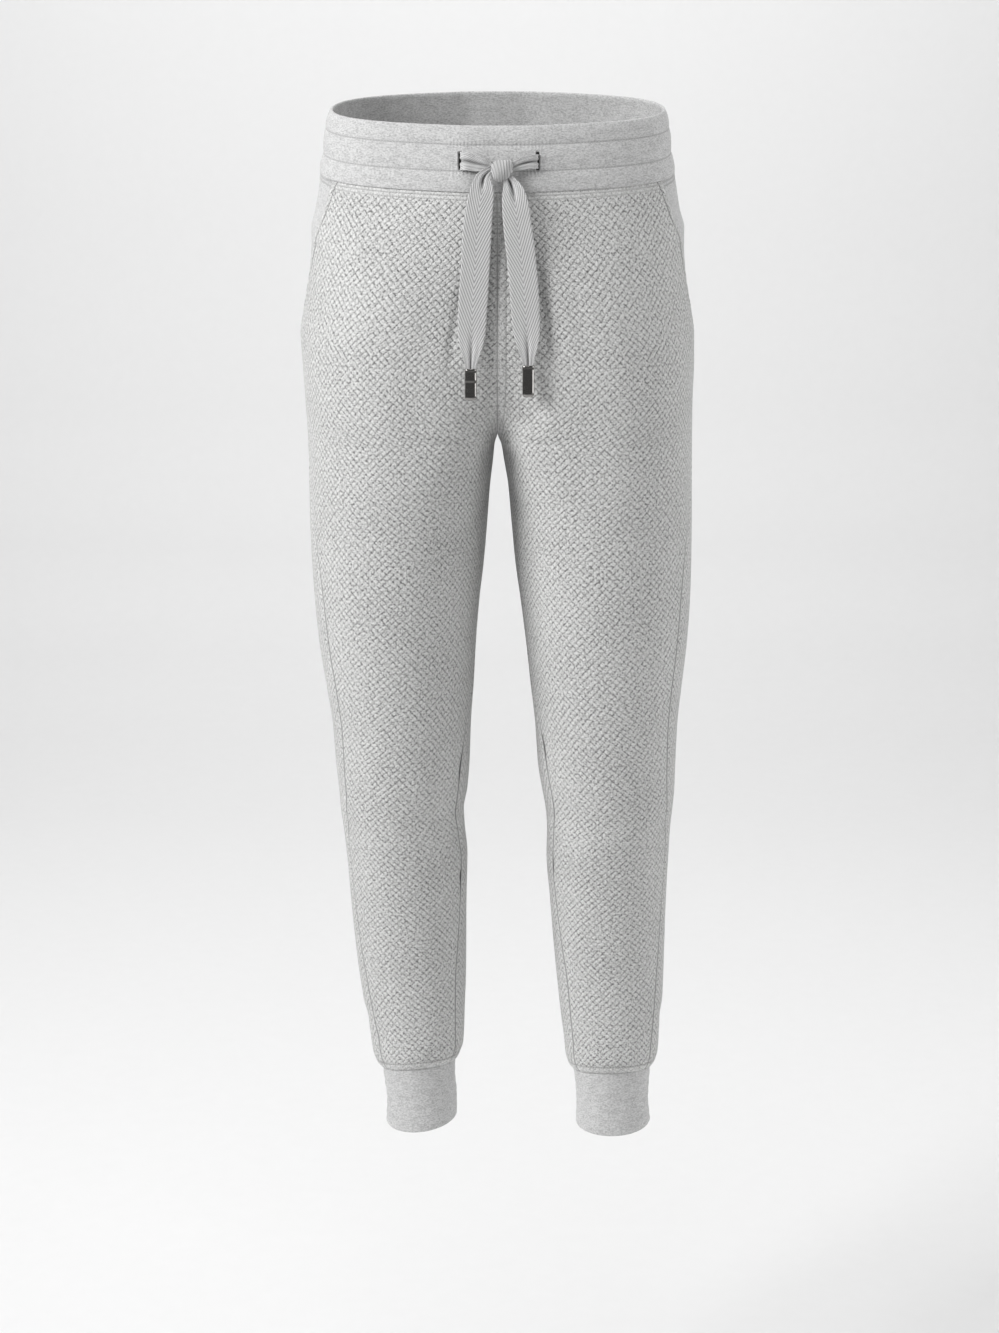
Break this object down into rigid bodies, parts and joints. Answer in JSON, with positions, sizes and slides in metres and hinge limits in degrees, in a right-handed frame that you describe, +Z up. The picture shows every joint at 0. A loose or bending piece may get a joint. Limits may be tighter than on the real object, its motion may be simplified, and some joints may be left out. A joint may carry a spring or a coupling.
{
  "type": "jogger sweatpants",
  "caption": "Hollow worn-form jogger sweatpants in quilted knit, with jersey waistband and cuffs, slanted pockets and a knotted flat drawstring with metal tips.",
  "frame": {"origin": "middle of the waist, level with the top of the waistband at the side seams, where the wearer's waist holds the trousers up", "axes": "+Z up the body, -Y towards the front, +X towards the wearer's left"},
  "size_m": [0.3792, 0.2711, 1.0442],
  "materials": {
    "knit": "light heather grey double-faced knit with a raised diagonal lattice",
    "jersey": "smooth heather grey jersey",
    "tape": "matte grey herringbone twill tape",
    "tip_metal": "polished dark nickel"
  },
  "bodies": {
    "root": {"waistband": "jersey", "front_left": "knit", "back_left": "knit", "pocket_facing_left": "jersey", "cuff_left": "jersey", "lead_left": "tape", "tail_left": "tape", "tip_left": "tip_metal", "front_right": "knit", "back_right": "knit", "pocket_facing_right": "jersey", "cuff_right": "jersey", "lead_right": "tape", "tail_right": "tape", "tip_right": "tip_metal", "knot": "tape"}
  },
  "joints": []
}
